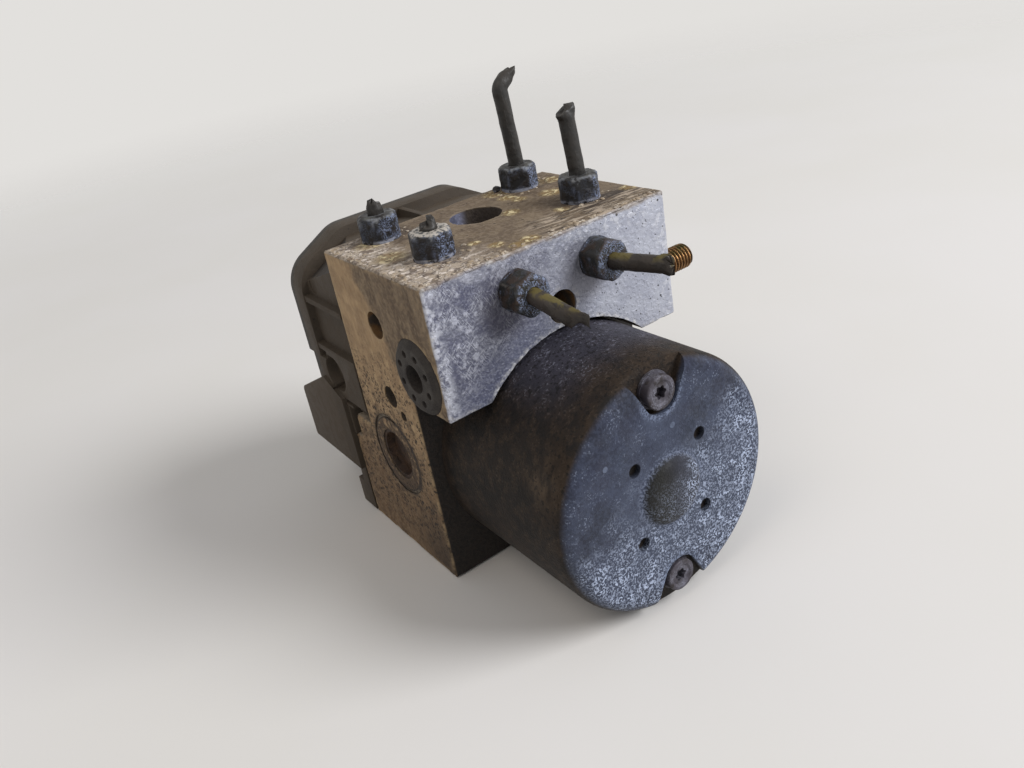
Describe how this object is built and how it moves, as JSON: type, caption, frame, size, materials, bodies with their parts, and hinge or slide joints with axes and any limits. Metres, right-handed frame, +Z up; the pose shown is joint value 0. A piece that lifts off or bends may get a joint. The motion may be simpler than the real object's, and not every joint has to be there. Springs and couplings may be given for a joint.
{
  "type": "anti-lock brake module",
  "caption": "Anti-lock brake unit: aluminium valve block with a round pump motor in front, a moulded controller behind, tube nuts with cut brake pipes and one mounting stud.",
  "frame": {"origin": "on the valve block's bottom face, at mid width, in the plane where the controller seats on the block", "axes": "+Z up, +X across the block towards the mounting stud, -Y towards the pump motor"},
  "size_m": [0.1026, 0.1476, 0.1381],
  "materials": {
    "anodised_aluminium": "anodised",
    "bearing_steel": "ground",
    "block_aluminium": "machined, oxidised",
    "board_laminate": "varnished",
    "bolt_steel": "rusted",
    "carbon": "pressed",
    "coil_plastic": "overmoulded",
    "commutator_copper": "turned",
    "coppered_steel": "plated, worn",
    "enamelled_copper": "enamelled",
    "ferrite": "sintered",
    "housing_plastic": "moulded, dusty",
    "isolator_rubber": "moulded, dusty",
    "laminated_steel": "stamped",
    "lid_plastic": "moulded",
    "motor_enamel": "worn enamel",
    "nut_steel": "coated, worn",
    "phenolic_plastic": "moulded",
    "pipe_black": "plastic coated",
    "pipe_olive": "coated, scuffed",
    "plug_steel": "stained",
    "screw_steel": "zinc plated",
    "seal_rubber": "moulded",
    "spring_steel": "drawn",
    "tinned_brass": "tinned",
    "valve_steel": "turned"
  },
  "bodies": {
    "module": {"accumulator_cap_left": "anodised_aluminium", "accumulator_cap_right": "anodised_aluminium", "accumulator_spring_left": "spring_steel", "accumulator_spring_right": "spring_steel", "brush_plate": "phenolic_plastic", "circuit_board": "board_laminate", "connector_pins": "tinned_brass", "controller_housing": "housing_plastic", "controller_lid": "lid_plastic", "controller_screws": "screw_steel", "controller_seal": "seal_rubber", "drive_bearing": "bearing_steel", "inlet_1_coil": "coil_plastic", "inlet_1_valve": "valve_steel", "inlet_2_coil": "coil_plastic", "inlet_2_valve": "valve_steel", "inlet_3_coil": "coil_plastic", "inlet_3_valve": "valve_steel", "inlet_4_coil": "coil_plastic", "inlet_4_valve": "valve_steel", "isolator_left": "isolator_rubber", "isolator_right": "isolator_rubber", "motor_bolts": "bolt_steel", "motor_brushes": "carbon", "motor_can": "motor_enamel", "motor_lead": "phenolic_plastic", "motor_magnets": "ferrite", "mounting_stud": "coppered_steel", "outlet_1_coil": "coil_plastic", "outlet_1_valve": "valve_steel", "outlet_2_coil": "coil_plastic", "outlet_2_valve": "valve_steel", "outlet_3_coil": "coil_plastic", "outlet_3_valve": "valve_steel", "outlet_4_coil": "coil_plastic", "outlet_4_valve": "valve_steel", "pipe_front_left": "pipe_black", "pipe_front_right": "pipe_black", "pipe_motor_left": "pipe_olive", "pipe_motor_right": "pipe_olive", "pipe_nuts": "nut_steel", "pipe_rear_left": "pipe_black", "pipe_rear_right": "pipe_black", "pump_plug_left": "plug_steel", "pump_plug_right": "plug_steel", "pump_sleeve_left": "plug_steel", "pump_sleeve_right": "plug_steel", "pump_spring_left": "spring_steel", "pump_spring_right": "spring_steel", "tail_bearing": "bearing_steel", "valve_block": "block_aluminium"},
    "rotor": {"motor_shaft": "bearing_steel", "armature_core": "laminated_steel", "armature_winding": "enamelled_copper", "commutator": "commutator_copper"},
    "ring": {"eccentric_ring": "bearing_steel"},
    "pump_piston_left": {"pump_piston_left": "bearing_steel"},
    "pump_piston_right": {"pump_piston_right": "bearing_steel"},
    "accumulator_piston_left": {"accumulator_piston_left": "anodised_aluminium"},
    "accumulator_piston_right": {"accumulator_piston_right": "anodised_aluminium"}
  },
  "joints": [
    {"name": "rotor_spin", "type": "hinge", "parent": "module", "child": "rotor", "pos_m": [0, -0.0365, 0.037], "axis": [0, 1, 0], "continuous": true},
    {"name": "ring_spin", "type": "hinge", "parent": "rotor", "child": "ring", "pos_m": [0, -0.0158, 0.0378], "axis": [0, 1, 0], "continuous": true},
    {"name": "pump_slide_left", "type": "slide", "parent": "module", "child": "pump_piston_left", "axis": [1, 0, 0], "range_m": [0, 0.0008]},
    {"name": "pump_slide_right", "type": "slide", "parent": "module", "child": "pump_piston_right", "axis": [-1, 0, 0], "range_m": [0, 0.0008]},
    {"name": "accumulator_slide_left", "type": "slide", "parent": "module", "child": "accumulator_piston_left", "axis": [0, 0, -1], "range_m": [0, 0.008], "stiffness_N_per_m": 300, "springref_m": -0.01, "deforming": ["accumulator_spring_left"]},
    {"name": "accumulator_slide_right", "type": "slide", "parent": "module", "child": "accumulator_piston_right", "axis": [0, 0, -1], "range_m": [0, 0.008], "stiffness_N_per_m": 300, "springref_m": -0.01, "deforming": ["accumulator_spring_right"]}
  ]
}
